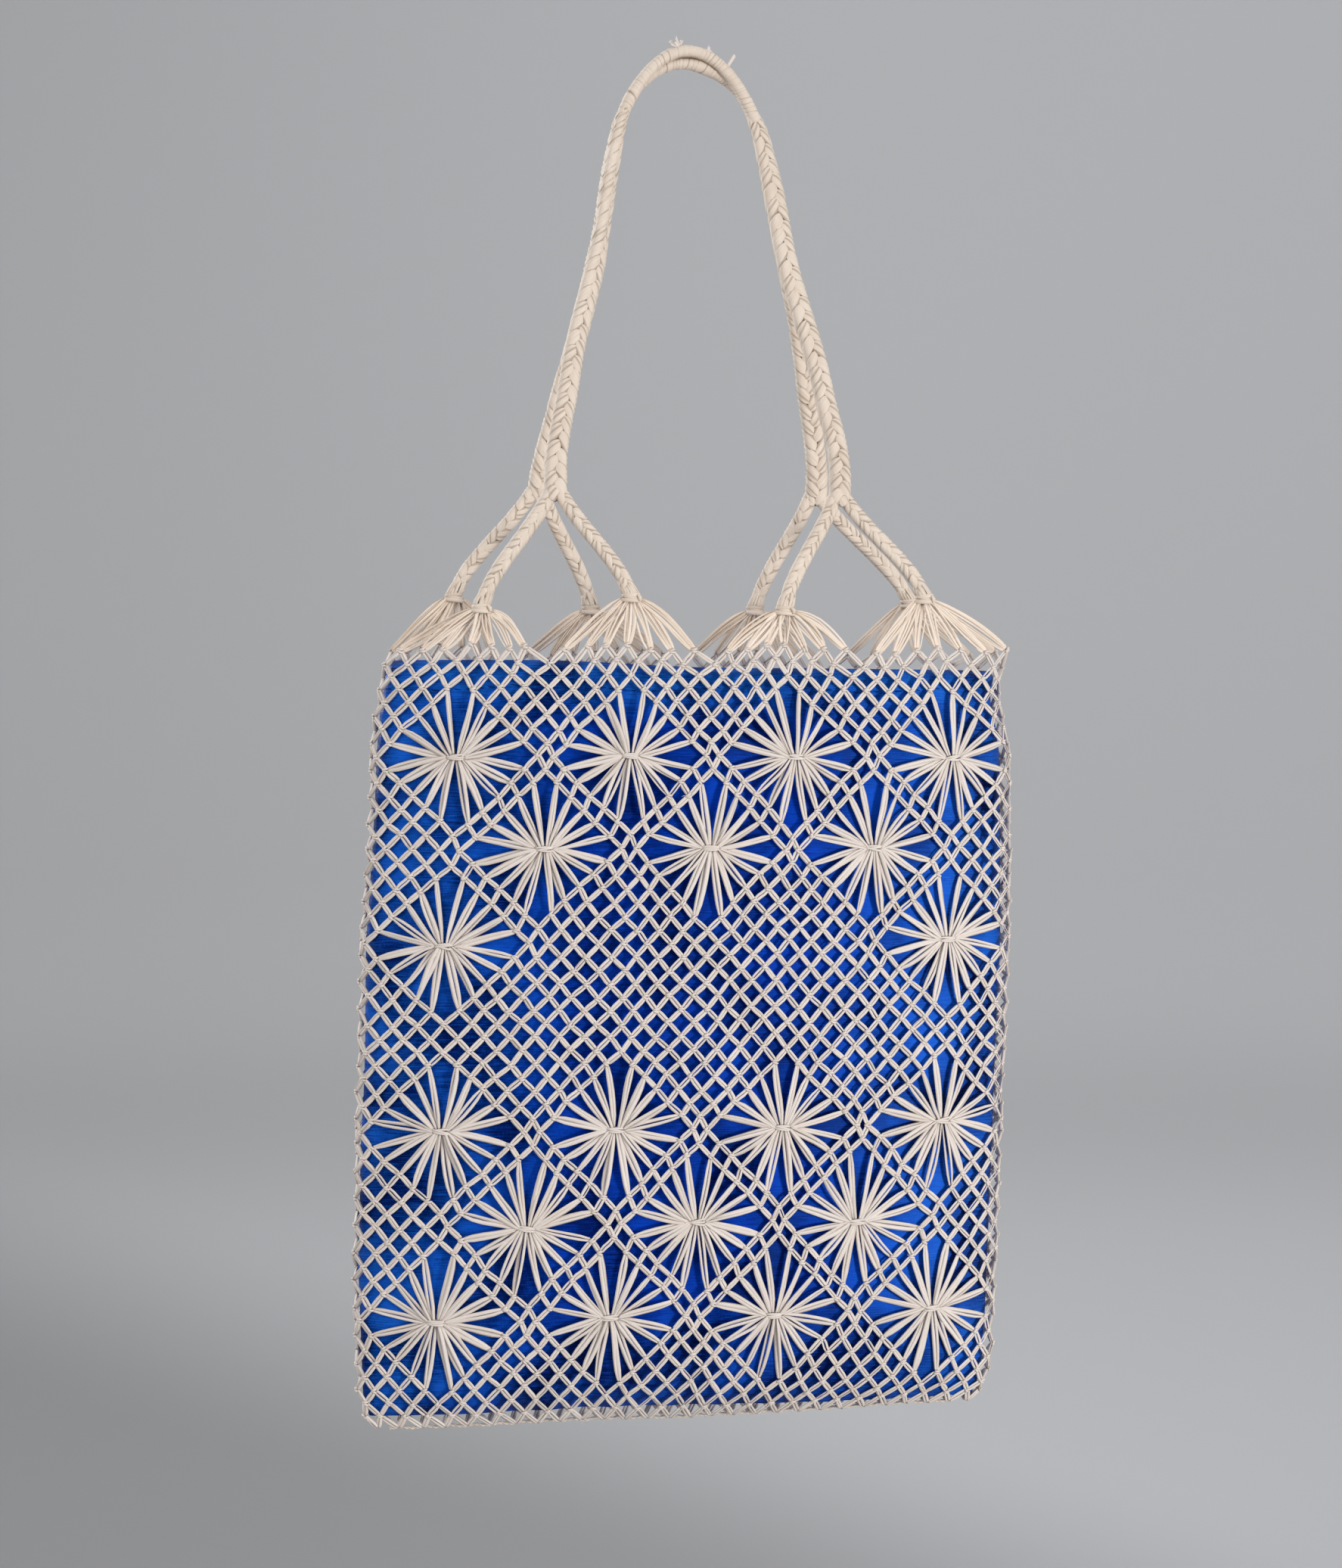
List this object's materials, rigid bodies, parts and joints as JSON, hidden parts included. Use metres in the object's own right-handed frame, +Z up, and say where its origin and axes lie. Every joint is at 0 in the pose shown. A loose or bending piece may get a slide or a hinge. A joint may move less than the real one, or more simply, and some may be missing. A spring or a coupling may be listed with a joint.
{
  "type": "macrame bag",
  "caption": "Tote of knotted raffia net with tied star windows over a blue silk lining, hung by two braided handles with whipped grips.",
  "frame": {"origin": "the hanging point, on the underside of the lower handle's crown", "axes": "+X to the bag's right as seen from its front, +Y from its front to its back, +Z up"},
  "size_m": [0.3585, 0.074, 0.7244],
  "materials": {
    "net_raffia": "flat split raffia strands, knotted in pairs, matt with a faint fibre sheen",
    "lining_silk": "royal blue silk with horizontal slubs and a soft sheen",
    "cord_raffia": "single twisted raffia cord",
    "fan_raffia": "long smooth raffia strands",
    "wrap_raffia": "tight turns of raffia",
    "braid_raffia": "three-strand raffia braid",
    "whipping_raffia": "close-wound raffia"
  },
  "bodies": {
    "root": {"net_body": "net_raffia", "lining": "lining_silk", "bottom_cord": "cord_raffia", "fan_front_1": "fan_raffia", "fan_front_2": "fan_raffia", "fan_front_3": "fan_raffia", "fan_front_4": "fan_raffia", "fan_back_1": "fan_raffia", "fan_back_2": "fan_raffia", "fan_back_3": "fan_raffia", "fan_back_4": "fan_raffia", "wrap_front_1": "wrap_raffia", "wrap_front_2": "wrap_raffia", "wrap_front_3": "wrap_raffia", "wrap_front_4": "wrap_raffia", "wrap_back_1": "wrap_raffia", "wrap_back_2": "wrap_raffia", "wrap_back_3": "wrap_raffia", "wrap_back_4": "wrap_raffia", "leg_front_1": "braid_raffia", "leg_front_2": "braid_raffia", "leg_front_3": "braid_raffia", "leg_front_4": "braid_raffia", "leg_back_1": "braid_raffia", "leg_back_2": "braid_raffia", "leg_back_3": "braid_raffia", "leg_back_4": "braid_raffia", "strap_front": "braid_raffia", "strap_back": "braid_raffia", "whipping_front": "whipping_raffia", "whipping_back": "whipping_raffia"}
  },
  "joints": []
}
